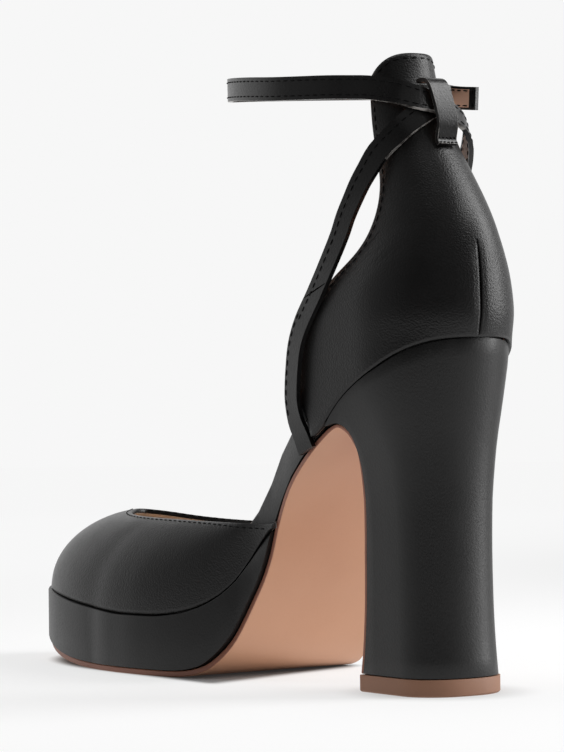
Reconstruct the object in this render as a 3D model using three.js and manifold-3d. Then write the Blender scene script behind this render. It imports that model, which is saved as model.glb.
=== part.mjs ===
// Ankle strap platform pump, the right shoe of a pair, in millimetres.
// +X runs to the toe, +Y to the inner side of the foot, +Z up.
// The origin is the middle of the heel tip, on the floor.
import * as THREE from "three";
import { mergeVertices } from "three/addons/utils/BufferGeometryUtils.js";
import Module from "manifold-3d";

const wasm = await Module();
wasm.setup();

// Driving sizes
const toeReach = 198.5; // heel tip's middle to the toe
const heelReach = 22; // heel tip's middle to the back of the heel seat
const seatHeight = 109; // heel seat at the back
const platformHeight = 19.6; // side of the platform at the ball
const ballWidth = 76.6; // platform at the ball
const seatWidth = 52.4; // upper at the heel seat
const tabTop = 197.8; // back tab above the floor
const upperWall = 1.7; // leather and lining together
const clearance = 0.3;
const platformLip = 0.8; // platform proud of the vamp
const outsoleInset = 0.9; // outsole in from the platform's side
const outsoleThickness = 1.9;
const shankSole = 1.6; // outsole under the arch
const breastSole = 1.1; // outsole down the heel's front
const boardInset = 0.25; // board in from the last's edge
const sockThickness = 1.1;
const sockInset = 1.2;
const tipHeight = 5.3;
const tipWidth = 35.6;
const tipLength = 34.2;
const strapWidth = 7.4;
const strapThickness = 1.5;
const throatReach = 161.5; // heel tip's middle to the front of the opening
const throatHeight = 52.5;
const keeperWidth = 7.4;
const keeperThickness = 1.3;
const buckleWire = 2; // round wire of the buckle's frame
const prongWire = 1.5;

const shoeLength = heelReach + toeReach;
const upperReach = clearance + upperWall;
const insoleWidth = ballWidth - 2 * (upperReach + platformLip);

const mix = (a, b, t) => a + (b - a) * t;
const range = (n) => Array.from({ length: n }, (_, i) => i);
const clamp01 = (t) => Math.min(1, Math.max(0, t));
const vec = (x, y, z) => new THREE.Vector3(x, y, z);

// A smooth line through a table's rows that never overshoots them.
function smoothTable(rows, from, to) {
  const xs = rows.map((row) => row[from]);
  const ys = rows.map((row) => row[to]);
  const slopes = range(xs.length - 1).map((i) => (ys[i + 1] - ys[i]) / (xs[i + 1] - xs[i]));
  const tangents = xs.map((_, i) => {
    if (i === 0) return slopes[0];
    if (i === xs.length - 1) return slopes[i - 1];
    const product = slopes[i - 1] * slopes[i];
    return product <= 0 ? 0 : (2 * product) / (slopes[i - 1] + slopes[i]);
  });
  return (x) => {
    const above = xs.findIndex((value) => x <= value);
    const i = above < 0 ? xs.length - 2 : Math.max(0, above - 1);
    const h = xs[i + 1] - xs[i];
    const t = clamp01((x - xs[i]) / h);
    const blend = t * t * (3 - 2 * t);
    const bend = tangents[i] * t * (1 - t) ** 2 - tangents[i + 1] * t * t * (1 - t);
    return mix(ys[i], ys[i + 1], blend) + h * bend;
  };
}

const xToAlong = (x) => (x + heelReach) / shoeLength;
const alongToX = (along) => along * shoeLength - heelReach;
const riseToZ = (rise) => mix(platformHeight, seatHeight, rise);
// Level 0 is the platform's top, 1 the heel seat and 2 the back tab's top.
const levelToZ = (level) => (level < 1 ? riseToZ(level) : mix(seatHeight, tabTop, level - 1));

// The height that leaves the clearance square to a sloping line.
const slopeGap = (readZ, x) => clearance * Math.hypot(1, readZ(x + 0.5) - readZ(x - 0.5));

// Side view of the insole's top; rise 0 is the platform's top and 1 the heel seat.
const footbedTable = [
  { along: 0.0091, rise: 1.062 },
  { along: 0.0635, rise: 1.04 },
  { along: 0.1361, rise: 0.972 },
  { along: 0.1995, rise: 0.871 },
  { along: 0.263, rise: 0.754 },
  { along: 0.2948, rise: 0.698 },
  { along: 0.322, rise: 0.644 },
  { along: 0.3447, rise: 0.582 },
  { along: 0.3719, rise: 0.483 },
  { along: 0.4036, rise: 0.38 },
  { along: 0.449, rise: 0.255 },
  { along: 0.4989, rise: 0.145 },
  { along: 0.5533, rise: 0.078 },
  { along: 0.6213, rise: 0.047 },
  { along: 0.7347, rise: 0.044 },
  { along: 0.8481, rise: 0.063 },
  { along: 1, rise: 0.101 },
];
const footbedRise = smoothTable(footbedTable, "along", "rise");
const footbedZ = (x) => riseToZ(footbedRise(xToAlong(x)));

// Side view of the seam between platform and vamp.
const seamTable = [
  { along: 0.3265, rise: 0.324 },
  { along: 0.3537, rise: 0.333 },
  { along: 0.3705, rise: 0.304 },
  { along: 0.3896, rise: 0.258 },
  { along: 0.4118, rise: 0.191 },
  { along: 0.4299, rise: 0.135 },
  { along: 0.4553, rise: 0.082 },
  { along: 0.4889, rise: 0.04 },
  { along: 0.5238, rise: 0.016 },
  { along: 0.5805, rise: 0.001 },
  { along: 0.6503, rise: 0 },
  { along: 0.7066, rise: 0.008 },
  { along: 0.7755, rise: 0.022 },
  { along: 0.839, rise: 0.038 },
  { along: 0.9161, rise: 0.056 },
  { along: 1, rise: 0.069 },
];
const seamRise = smoothTable(seamTable, "along", "rise");
const platformStart = alongToX(0.35);
const seamZ = (x) => riseToZ(seamRise(xToAlong(x)));

// Side view of the seam between heel and quarter.
const seatTable = [
  { along: 0, rise: 1 },
  { along: 0.0159, rise: 0.993 },
  { along: 0.0286, rise: 0.983 },
  { along: 0.0653, rise: 0.941 },
  { along: 0.0898, rise: 0.905 },
  { along: 0.1197, rise: 0.866 },
  { along: 0.1574, rise: 0.812 },
  { along: 0.1805, rise: 0.768 },
  { along: 0.1959, rise: 0.73 },
  { along: 0.2086, rise: 0.692 },
  { along: 0.2268, rise: 0.631 },
  { along: 0.254, rise: 0.541 },
];
const seatRise = smoothTable(seatTable, "along", "rise");
const seatFront = alongToX(seatTable[seatTable.length - 1].along);
const seatZ = (x) => riseToZ(seatRise(xToAlong(x)));

// Plan of the insole, as shares of its width at the ball.
const planTable = [
  { along: 0.127, inner: 0.341, outer: 0.341 },
  { along: 0.2086, inner: 0.339, outer: 0.341 },
  { along: 0.263, inner: 0.332, outer: 0.339 },
  { along: 0.3084, inner: 0.318, outer: 0.335 },
  { along: 0.3447, inner: 0.301, outer: 0.338 },
  { along: 0.3719, inner: 0.294, outer: 0.349 },
  { along: 0.3991, inner: 0.300, outer: 0.366 },
  { along: 0.4263, inner: 0.324, outer: 0.392 },
  { along: 0.449, inner: 0.356, outer: 0.414 },
  { along: 0.4853, inner: 0.403, outer: 0.445 },
  { along: 0.5306, inner: 0.449, outer: 0.473 },
  { along: 0.585, inner: 0.487, outer: 0.493 },
  { along: 0.6349, inner: 0.507, outer: 0.497 },
  { along: 0.6893, inner: 0.511, outer: 0.487 },
  { along: 0.7256, inner: 0.496, outer: 0.470 },
];
const insoleBack = upperReach - heelReach;
const insoleFront = toeReach - upperReach - platformLip;
const toePoint = 0.085; // toe point's offset to the inner side
const toeRound = { inner: 2, outer: 2 };
const innerPlan = smoothTable(planTable, "along", "inner");
const outerPlan = smoothTable(planTable, "along", "outer");
const roundBack = alongToX(planTable[0].along);
const roundFront = alongToX(planTable[planTable.length - 1].along);

// Insole edge at x; side is 1 for the inner edge and -1 for the outer one.
function insoleEdge(x, side) {
  const plan = side > 0 ? innerPlan : outerPlan;
  const halfWidth = plan(xToAlong(x)) * insoleWidth;
  if (x < roundBack) {
    const t = clamp01((roundBack - x) / (roundBack - insoleBack));
    return side * halfWidth * Math.sqrt(1 - t * t);
  }
  if (x <= roundFront) return side * halfWidth;
  const t = clamp01((x - roundFront) / (insoleFront - roundFront));
  const power = side > 0 ? toeRound.inner : toeRound.outer;
  const closing = Math.sqrt(1 - t ** power);
  return mix(toePoint * insoleWidth, side * halfWidth, closing);
}

// Stations crowded at the rounded ends.
function stations(back, front, count, crowdBack, crowdFront) {
  return range(count + 1).map((i) => {
    const t = i / count;
    const eased = (1 - Math.cos(t * Math.PI)) / 2;
    const backward = crowdBack ? eased : t;
    const forward = crowdFront ? eased : t;
    return mix(back, front, mix(backward, forward, t));
  });
}

// One side of the insole's outline grown by a distance, from back to front.
function grownSide(grow, side, startX, count) {
  const crowdBack = startX < roundBack;
  const xs = stations(startX, insoleFront, count, crowdBack, true);
  const line = xs.map((x) => new THREE.Vector2(x, insoleEdge(x, side)));
  return line.map((point, i) => {
    const before = line[Math.max(0, i - 1)];
    const after = line[Math.min(line.length - 1, i + 1)];
    const way = after.clone().sub(before).normalize();
    if (i === line.length - 1) way.set(0, -side);
    if (i === 0 && crowdBack) way.set(0, side);
    return new THREE.Vector2(point.x - side * way.y * grow, point.y + side * way.x * grow);
  });
}

// The same outline read as Y at x.
function edgeReader(grow, startX) {
  const lines = [1, -1].map((side) => grownSide(grow, side, startX, 240));
  return (x, side) => {
    const line = side > 0 ? lines[0] : lines[1];
    const above = line.findIndex((point) => point.x >= x);
    if (above < 0) return line[line.length - 1].y;
    if (above === 0) return line[0].y;
    const a = line[above - 1];
    const b = line[above];
    return mix(a.y, b.y, (x - a.x) / (b.x - a.x));
  };
}

// A line of points read by its share of length.
function byLength(points) {
  const sums = [0];
  points.slice(1).forEach((point, i) => sums.push(sums[i] + point.distanceTo(points[i])));
  const total = sums[sums.length - 1];
  return (share) => {
    const wanted = clamp01(share) * total;
    const above = sums.findIndex((sum) => wanted <= sum);
    const i = above < 0 ? sums.length - 1 : Math.max(1, above);
    const t = (wanted - sums[i - 1]) / (sums[i] - sums[i - 1]);
    return points[i - 1].clone().lerp(points[i], t);
  };
}

// A closed geometry whose faces are all turned outwards.
function closedGeometry(points, index) {
  let volume = 0;
  for (let i = 0; i < index.length; i += 3) {
    const [a, b, c] = [points[index[i]], points[index[i + 1]], points[index[i + 2]]];
    volume += a.dot(b.clone().cross(c));
  }
  const geometry = new THREE.BufferGeometry();
  const positions = points.flatMap((point) => point.toArray());
  geometry.setAttribute("position", new THREE.Float32BufferAttribute(positions, 3));
  geometry.setIndex(volume < 0 ? index.slice().reverse() : index);
  return geometry;
}

// A solid through rings of points, capped at both ends.
function loft(rings, closed = false) {
  const size = rings[0].length;
  const count = rings.length;
  const index = [];
  for (let r = 0; r < (closed ? count : count - 1); r += 1) {
    const next = ((r + 1) % count) * size;
    for (let k = 0; k < size; k += 1) {
      const turn = (k + 1) % size;
      index.push(r * size + k, r * size + turn, next + turn);
      index.push(r * size + k, next + turn, next + k);
    }
  }
  const last = (count - 1) * size;
  for (let k = 0; !closed && k + 1 < size - 1 - k; k += 1) {
    const across = size - 1 - k;
    index.push(k, across, k + 1);
    index.push(last + k, last + k + 1, last + across);
    if (k + 1 < across - 1) {
      index.push(k + 1, across, across - 1);
      index.push(last + k + 1, last + across - 1, last + across);
    }
  }
  return closedGeometry(rings.flat(), index);
}

// A wall of leather from the grid of its outer face, rows from bottom to top.
function wall(outer, thickness) {
  const rows = outer.length;
  const columns = outer[0].length;
  const inner = outer.map((row, r) =>
    row.map((point, c) => {
      const up = outer[Math.min(rows - 1, r + 1)][c].clone().sub(outer[Math.max(0, r - 1)][c]);
      const ahead = row[Math.min(columns - 1, c + 1)].clone().sub(row[Math.max(0, c - 1)]);
      return point.clone().addScaledVector(ahead.cross(up).normalize(), -thickness);
    }),
  );
  const half = rows * columns;
  const index = [];
  const quad = (a, b, c, d) => index.push(a, b, c, a, c, d);
  for (let r = 0; r + 1 < rows; r += 1) {
    for (let c = 0; c + 1 < columns; c += 1) {
      const a = r * columns + c;
      quad(a, a + 1, a + columns + 1, a + columns);
      quad(half + a, half + a + columns, half + a + columns + 1, half + a + 1);
    }
  }
  for (let c = 0; c + 1 < columns; c += 1) {
    const top = half - columns + c;
    quad(c + 1, c, half + c, half + c + 1);
    quad(top, top + 1, half + top + 1, half + top);
  }
  for (let r = 0; r + 1 < rows; r += 1) {
    const a = r * columns;
    const b = a + columns - 1;
    quad(a, a + columns, half + a + columns, half + a);
    quad(b + columns, b, half + b, half + b + columns);
  }
  return closedGeometry([...outer.flat(), ...inner.flat()], index);
}

function toSolid(geometry) {
  const bare = geometry.clone();
  bare.deleteAttribute("normal");
  bare.deleteAttribute("uv");
  const merged = mergeVertices(bare, 1e-4);
  const vertProperties = new Float32Array(merged.attributes.position.array);
  const triVerts = new Uint32Array(merged.index.array);
  return new wasm.Manifold(new wasm.Mesh({ numProp: 3, vertProperties, triVerts }));
}

function cut(geometry, ...tools) {
  const solid = tools.reduce((left, tool) => left.subtract(toSolid(tool)), toSolid(geometry));
  const mesh = solid.getMesh();
  const result = new THREE.BufferGeometry();
  result.setAttribute("position", new THREE.BufferAttribute(mesh.vertProperties, 3));
  result.setIndex(new THREE.BufferAttribute(mesh.triVerts, 1));
  return result;
}

// Side view of the outsole's outer face: from the toe along the floor, up the arch
// and down the heel's breast. Lifts are shares of the seat height.
const soleTable = [
  { along: 0.9932, lift: 0.1028, thickness: outsoleThickness },
  { along: 0.9615, lift: 0.0771, thickness: outsoleThickness },
  { along: 0.9161, lift: 0.0505, thickness: outsoleThickness },
  { along: 0.8662, lift: 0.0275, thickness: outsoleThickness },
  { along: 0.8141, lift: 0.0119, thickness: outsoleThickness },
  { along: 0.7619, lift: 0.0032, thickness: outsoleThickness },
  { along: 0.7166, lift: 0, thickness: outsoleThickness },
  { along: 0.5488, lift: 0, thickness: outsoleThickness },
  { along: 0.5193, lift: 0.0032, thickness: outsoleThickness },
  { along: 0.4989, lift: 0.0101, thickness: outsoleThickness },
  { along: 0.4753, lift: 0.0266, thickness: outsoleThickness },
  { along: 0.4481, lift: 0.0697, thickness: outsoleThickness },
  { along: 0.4295, lift: 0.1174, thickness: mix(outsoleThickness, shankSole, 0.3) },
  { along: 0.4023, lift: 0.222, thickness: mix(outsoleThickness, shankSole, 0.7) },
  { along: 0.3823, lift: 0.2954, thickness: shankSole },
  { along: 0.366, lift: 0.367, thickness: shankSole },
  { along: 0.3456, lift: 0.4697, thickness: shankSole },
  { along: 0.3138, lift: 0.567, thickness: shankSole },
  { along: 0.2635, lift: 0.6587, thickness: shankSole },
  { along: 0.2209, lift: 0.7193, thickness: mix(shankSole, breastSole, 0.2) },
  { along: 0.2009, lift: 0.7422, thickness: mix(shankSole, breastSole, 0.5) },
  { along: 0.1868, lift: 0.7505, thickness: breastSole },
  { along: 0.1769, lift: 0.7321, thickness: breastSole },
  { along: 0.1728, lift: 0.6881, thickness: breastSole },
  { along: 0.1701, lift: 0.6147, thickness: breastSole },
  { along: 0.1701, lift: 0.5138, thickness: breastSole },
  { along: 0.1719, lift: 0.4028, thickness: breastSole },
  { along: 0.1719, lift: 0.2606, thickness: breastSole },
  { along: 0.1746, lift: 0.1174, thickness: breastSole },
  { along: 0.1773, lift: (tipHeight + clearance) / seatHeight, thickness: breastSole },
];
const soleCurve = new THREE.CatmullRomCurve3(
  soleTable.map((row) => vec(alongToX(row.along), 0, row.lift * seatHeight)),
  false,
  "centripetal",
);
const soleRows = soleTable.map((row, i) => ({ ...row, i }));
const soleThickness = smoothTable(soleRows, "i", "thickness");
const soleSteps = 3;
const soleLine = range((soleTable.length - 1) * soleSteps + 1).map((step) => {
  const i = step / soleSteps;
  const share = i / (soleTable.length - 1);
  const way = soleCurve.getTangent(share);
  const into = vec(way.z, 0, -way.x).normalize();
  const point = soleCurve.getPoint(share);
  point.z = Math.max(0, point.z);
  return { point, into, thickness: soleThickness(i) };
});
const breastRow = soleTable.findIndex((row) => row.along < 0.19) * soleSteps;

// The line that every piece above the outsole keeps to.
const aboveSole = soleLine.map((at) => at.point.clone().addScaledVector(at.into, at.thickness + clearance));
const archLine = aboveSole.slice(0, breastRow + 1).reverse();

function aboveSoleZ(x) {
  const above = archLine.findIndex((point) => point.x >= x);
  if (above < 1) return above < 0 ? archLine[archLine.length - 1].z : archLine[0].z;
  const a = archLine[above - 1];
  const b = archLine[above];
  return mix(a.z, b.z, (x - a.x) / (b.x - a.x));
}

// Lower edge of everything that stands on the heel, the outsole or the platform.
function lowerEdge(x) {
  if (x < archLine[0].x) return seatZ(x);
  const sole = aboveSoleZ(x);
  if (x < platformStart) return Math.max(sole, x < seatFront ? seatZ(x) : sole);
  return Math.max(sole, seamZ(x));
}

// The room taken by the outsole and by the air under the arch.
function soleRoom() {
  const outline = aboveSole.map((point) => new THREE.Vector2(point.x, point.z));
  const foot = outline[outline.length - 1];
  const toe = outline[0];
  outline.push(new THREE.Vector2(foot.x, -40), new THREE.Vector2(toe.x + 60, -40));
  outline.push(new THREE.Vector2(toe.x + 60, toe.y + 4));
  const room = new THREE.ExtrudeGeometry(new THREE.Shape(outline), {
    depth: 2 * ballWidth,
    bevelEnabled: false,
  });
  room.rotateX(Math.PI / 2);
  room.translate(0, ballWidth, 0);
  return room;
}

// Heel rings from the tip up to the sloping seat. Rise and back are measured at the ring's back.
const heelTable = [
  { rise: 0.0, back: 0.76, half: 0.665, depth: 0.27, square: 2.25, tilt: 0 },
  { rise: 0.1, back: 0.725, half: 0.648, depth: 0.27, square: 2.25, tilt: 0 },
  { rise: 0.22, back: 0.7, half: 0.637, depth: 0.27, square: 2.25, tilt: 0 },
  { rise: 0.37, back: 0.69, half: 0.632, depth: 0.27, square: 2.25, tilt: 0 },
  { rise: 0.5, back: 0.695, half: 0.645, depth: 0.28, square: 2.25, tilt: 0.02 },
  { rise: 0.6, back: 0.715, half: 0.682, depth: 0.3, square: 2.25, tilt: 0.08 },
  { rise: 0.7, back: 0.755, half: 0.745, depth: 0.34, square: 2.2, tilt: 0.22 },
  { rise: 0.8, back: 0.82, half: 0.832, depth: 0.4, square: 2.15, tilt: 0.45 },
  { rise: 0.88, back: 0.88, half: 0.905, depth: 0.46, square: 2.1, tilt: 0.66 },
  { rise: 0.95, back: 0.94, half: 0.96, depth: 0.51, square: 2.05, tilt: 0.86 },
  { rise: 1.0, back: 0.978, half: 0.99, depth: 0.54, square: 2, tilt: 1 },
];
const heelReaders = Object.fromEntries(
  ["back", "half", "depth", "square", "tilt"].map((name) => [name, smoothTable(heelTable, "rise", name)]),
);

// A rounded back with straight sides, from the inner side's front corner to the outer side's one.
function roundedBack(backX, half, depth, square, frontX, count, sideCount) {
  const arc = range(count + 1).map((i) => {
    const angle = mix(-Math.PI / 2, Math.PI / 2, i / count);
    const across = Math.sign(Math.sin(angle)) * Math.abs(Math.sin(angle)) ** (2 / square);
    const along = Math.cos(angle) ** (2 / square);
    return new THREE.Vector2(backX + depth * (1 - along), -half * across);
  });
  const straight = range(sideCount).map((i) => mix(frontX, backX + depth, i / sideCount));
  const inner = straight.map((x) => new THREE.Vector2(x, half));
  const outer = straight.map((x) => new THREE.Vector2(x, -half)).reverse();
  return [...inner, ...arc, ...outer];
}

function heelSolid() {
  const foot = tipHeight + clearance;
  const rings = range(20).map((i) => {
    const rise = i / 19;
    const at = Object.fromEntries(Object.entries(heelReaders).map(([name, read]) => [name, read(rise)]));
    const backX = -at.back * heelReach;
    const backZ = mix(foot, seatHeight, rise);
    const plan = roundedBack(backX, (at.half * seatWidth) / 2, at.depth * seatWidth, at.square, 34, 18, 6);
    return plan.map((point) => vec(point.x, point.y, backZ + at.tilt * (seatZ(point.x) - seatHeight)));
  });
  return cut(loft(rings), soleRoom());
}

function heelTipSolid() {
  const ring = (z, inset) =>
    roundedBack(
      -tipLength / 2 + inset,
      tipWidth / 2 - inset,
      0.4 * tipLength,
      2.2,
      tipLength / 2 - inset,
      18,
      1,
    ).map((point) => vec(point.x, point.y, z));
  return loft([ring(0, 0.4), ring(0.5, 0), ring(tipHeight, 0)]);
}

// Heel half width on the breast, for the outsole that runs down it.
function breastHalf(z) {
  const rise = clamp01((z - tipHeight) / (seatHeight - tipHeight));
  return (heelReaders.half(rise) * seatWidth) / 2 - 0.15;
}

function outsoleSolid() {
  const fore = edgeReader(upperReach + platformLip - outsoleInset, 40);
  const waist = edgeReader(-outsoleInset / 2, 10);
  const rings = soleLine.map((at, step) => {
    const x = at.point.x;
    const forward = clamp01((x - alongToX(0.345)) / (alongToX(0.44) - alongToX(0.345)));
    const blend = forward * forward * (3 - 2 * forward);
    const downBreast = clamp01((step - breastRow) / (2 * soleSteps));
    const edges = [1, -1].map((side) => {
      const arch = mix(waist(Math.max(x, 18), side), fore(Math.max(x, 50), side), blend);
      return mix(arch, side * breastHalf(at.point.z), downBreast);
    });
    const under = edges.map((y) => vec(x, y, at.point.z));
    const over = under.map((point) => point.clone().addScaledVector(at.into, at.thickness));
    return [under[0], under[1], over[1], over[0]];
  });
  return loft(rings);
}

// A block across the shoe at one station, with its top edges eased.
function crossRing(x, inner, outer, bottom, top, ease) {
  const e = Math.min(ease, (inner - outer) / 4, (top - bottom) / 3);
  return [
    vec(x, inner, bottom),
    vec(x, inner, top - e),
    vec(x, inner - 0.3 * e, top - 0.3 * e),
    vec(x, inner - e, top),
    vec(x, outer + e, top),
    vec(x, outer + 0.3 * e, top - 0.3 * e),
    vec(x, outer, top - e),
    vec(x, outer, bottom),
  ];
}

function platformSolid() {
  const edge = edgeReader(upperReach + platformLip, platformStart);
  const xs = stations(platformStart, insoleFront + upperReach + platformLip - 0.15, 46, false, true);
  const narrow = alongToX(0.44);
  const rings = xs.map((x) => {
    const t = clamp01((x - platformStart) / (narrow - platformStart));
    const flush = mix(upperReach, 0, t);
    return crossRing(x, edge(x, 1) - flush, edge(x, -1) + flush, -5, seamZ(x), 0.8);
  });
  return cut(loft(rings), soleRoom());
}

function insoleSolid() {
  const xs = stations(insoleBack + boardInset, insoleFront - 2.6, 48, true, true);
  const rings = xs.map((x) => {
    const bottom = lowerEdge(x) + slopeGap(lowerEdge, x);
    const inner = insoleEdge(x, 1) - boardInset;
    const outer = insoleEdge(x, -1) + boardInset;
    return crossRing(x, inner, outer, bottom, footbedZ(x), 1.4);
  });
  return cut(loft(rings), soleRoom());
}

function sockSolid() {
  const edge = edgeReader(-sockInset, insoleBack + 0.2);
  const xs = stations(insoleBack + sockInset + 0.5, insoleFront - 14, 44, true, true);
  const rings = xs.map((x) => {
    const bottom = footbedZ(x) + slopeGap(footbedZ, x);
    const inner = edge(x, 1) - 1;
    const outer = edge(x, -1) + 1;
    return [
      vec(x, inner, bottom),
      vec(x, inner, bottom + sockThickness),
      vec(x, outer, bottom + sockThickness),
      vec(x, outer, bottom),
    ];
  });
  return loft(rings);
}

// Vamp
const openingTable = [
  { along: 0.3478, inner: 0.33, outer: 0.366, innerHeight: 0.965, outerHeight: 0.965 },
  { along: 0.3719, inner: 0.325, outer: 0.38, innerHeight: 0.966, outerHeight: 0.96 },
  { along: 0.3991, inner: 0.33, outer: 0.396, innerHeight: 0.967, outerHeight: 0.955 },
  { along: 0.4263, inner: 0.343, outer: 0.405, innerHeight: 0.968, outerHeight: 0.95 },
  { along: 0.4626, inner: 0.345, outer: 0.395, innerHeight: 0.969, outerHeight: 0.94 },
  { along: 0.517, inner: 0.34, outer: 0.37, innerHeight: 0.97, outerHeight: 0.93 },
  { along: 0.5896, inner: 0.335, outer: 0.345, innerHeight: 0.972, outerHeight: 0.922 },
  { along: 0.6712, inner: 0.318, outer: 0.31, innerHeight: 0.975, outerHeight: 0.92 },
  { along: 0.7347, inner: 0.275, outer: 0.255, innerHeight: 0.98, outerHeight: 0.93 },
  { along: 0.78, inner: 0.205, outer: 0.175, innerHeight: 0.99, outerHeight: 0.95 },
  { along: 0.8095, inner: 0.12, outer: 0.07, innerHeight: 1, outerHeight: 0.98 },
];
const vampBack = alongToX(openingTable[0].along);
const throatOffset = 0.045; // front of the opening, offset to the inner side

function openingLine() {
  const side = (sign, name) =>
    openingTable.map((row) => {
      const height = row[`${name}Height`] * throatHeight;
      return vec(alongToX(row.along), sign * row[name] * insoleWidth, height);
    });
  const front = vec(throatReach, throatOffset * insoleWidth, throatHeight);
  const points = [...side(-1, "outer"), front, ...side(1, "inner").reverse()];
  return new THREE.CatmullRomCurve3(points, false, "centripetal").getPoints(240);
}

function vampGrid(columns, rows) {
  const outer = grownSide(upperReach, -1, vampBack, 120);
  const inner = grownSide(upperReach, 1, vampBack, 120).reverse().slice(1);
  const feather = byLength([...outer, ...inner]);
  const opening = byLength(openingLine());
  return range(rows + 1).map((r) =>
    range(columns + 1).map((c) => {
      const share = c / columns;
      const u = mix(share, (1 - Math.cos(share * Math.PI)) / 2, 0.55);
      const foot = feather(u);
      const low = vec(foot.x, foot.y, seamZ(foot.x) + slopeGap(seamZ, foot.x));
      const high = opening(u);
      const inward = vec(high.x - low.x, high.y - low.y, 0);
      const height = high.z - low.z;
      const a = low.clone().add(vec(0, 0, 0.55 * height)).addScaledVector(inward, -0.012);
      const b = high.clone().addScaledVector(inward, -0.44).add(vec(0, 0, -0.04 * height));
      const curve = new THREE.CubicBezierCurve3(low, a, b, high);
      return curve.getPoint(r / rows);
    }),
  );
}

// Quarter: sections of the counter and back tab by height. Height 0 is the heel seat
// and 1 the tab's top; back, half and depth are shares of the heel seat's width.
const quarterTable = [
  { height: 0.0, back: 0.431, half: 0.503, depth: 0.54 },
  { height: 0.09, back: 0.462, half: 0.512, depth: 0.575 },
  { height: 0.19, back: 0.458, half: 0.492, depth: 0.585 },
  { height: 0.268, back: 0.447, half: 0.449, depth: 0.56 },
  { height: 0.38, back: 0.41, half: 0.372, depth: 0.515 },
  { height: 0.458, back: 0.352, half: 0.334, depth: 0.472 },
  { height: 0.59, back: 0.212, half: 0.277, depth: 0.378 },
  { height: 0.67, back: 0.112, half: 0.262, depth: 0.345 },
  { height: 0.737, back: 0.042, half: 0.258, depth: 0.325 },
  { height: 0.826, back: -0.038, half: 0.248, depth: 0.286 },
  { height: 0.904, back: -0.1, half: 0.239, depth: 0.252 },
  { height: 1.0, back: -0.14, half: 0.229, depth: 0.235 },
];
const quarterReaders = Object.fromEntries(
  ["back", "half", "depth"].map((name) => [name, smoothTable(quarterTable, "height", name)]),
);
const zToHeight = (z) => clamp01((z - seatHeight) / (tabTop - seatHeight));

// Front edge of the quarter in the side view, from the outsole to the tab's top corner.
const frontEdgeTable = [
  { level: 0.6588, fore: 0.5687 },
  { level: 0.698, fore: 0.5954 },
  { level: 0.7271, fore: 0.6221 },
  { level: 0.7494, fore: 0.6603 },
  { level: 0.7819, fore: 0.6908 },
  { level: 0.8177, fore: 0.7176 },
  { level: 0.8915, fore: 0.7328 },
  { level: 0.9911, fore: 0.7023 },
  { level: 1.0541, fore: 0.6336 },
  { level: 1.0968, fore: 0.5592 },
  { level: 1.1295, fore: 0.5 },
  { level: 1.1948, fore: 0.4084 },
  { level: 1.2466, fore: 0.2939 },
  { level: 1.2714, fore: 0.2366 },
  { level: 1.3266, fore: 0.1641 },
  { level: 1.3829, fore: 0.1298 },
  { level: 1.4617, fore: 0.1107 },
  { level: 1.5405, fore: 0.1355 },
  { level: 1.6036, fore: 0.1832 },
  { level: 1.6869, fore: 0.2328 },
  { level: 1.7995, fore: 0.2767 },
  { level: 1.9077, fore: 0.3073 },
];
const frontEdge = frontEdgeTable.map((row) => ({ x: row.fore * seatWidth, z: levelToZ(row.level) }));
const frontEdgeX = smoothTable(frontEdge, "z", "x");
const frontFoot = frontEdge[0];
const frontTop = frontEdge[frontEdge.length - 1].z;

// A point of the quarter; turn runs from 0 at the back to 1 at the widest place and on to the front.
function quarterPoint(z, turn, side) {
  const height = zToHeight(z);
  const backX = -quarterReaders.back(height) * seatWidth;
  const half = quarterReaders.half(height) * seatWidth;
  const depth = quarterReaders.depth(height) * seatWidth;
  const angle = Math.min(1, turn) * (Math.PI / 2);
  const beyond = Math.max(0, turn - 1) * (Math.PI / 2) * depth;
  const x = backX + depth * (1 - Math.cos(angle)) + beyond;
  return vec(x, side * (half * Math.sin(angle) - 0.0004 * beyond * beyond), z);
}

function turnAtX(z, x) {
  const height = zToHeight(z);
  const depth = quarterReaders.depth(height) * seatWidth;
  const reach = (x + quarterReaders.back(height) * seatWidth) / depth;
  return reach < 1 ? Math.acos(1 - reach) / (Math.PI / 2) : 1 + (reach - 1) / (Math.PI / 2);
}

function quarterGrid(columns, rows) {
  return range(rows + 1).map((r) => {
    const v = r / rows;
    return range(columns + 1).map((c) => {
      const u = 1 - (2 * c) / columns;
      const share = Math.abs(u);
      const side = Math.sign(u) || 1;
      let bottom = seatHeight;
      for (let pass = 0; pass < 12; pass += 1) {
        const x = quarterPoint(bottom, share * turnAtX(frontFoot.z, frontFoot.x), side).x;
        bottom = lowerEdge(x) + slopeGap(lowerEdge, x);
      }
      const top = mix(tabTop, frontTop, share ** 3.2);
      const z = mix(bottom, top, v);
      const edgeZ = mix(frontFoot.z, frontTop, v);
      return quarterPoint(z, share * turnAtX(edgeZ, frontEdgeX(edgeZ)), side);
    });
  });
}

// A flat band along a path. Rows give the middle line, the way its outer face turns
// in plan (0 to the toe, 90 to the inner side) and how far that face tilts upward.
// In the straps' tables fore and across are shares of the heel seat's width.
const placedRows = (table) =>
  table.map(({ fore, across, level, face, tilt }) => ({
    x: fore * seatWidth,
    y: across * seatWidth,
    z: levelToZ(level),
    face,
    tilt,
  }));

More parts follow.
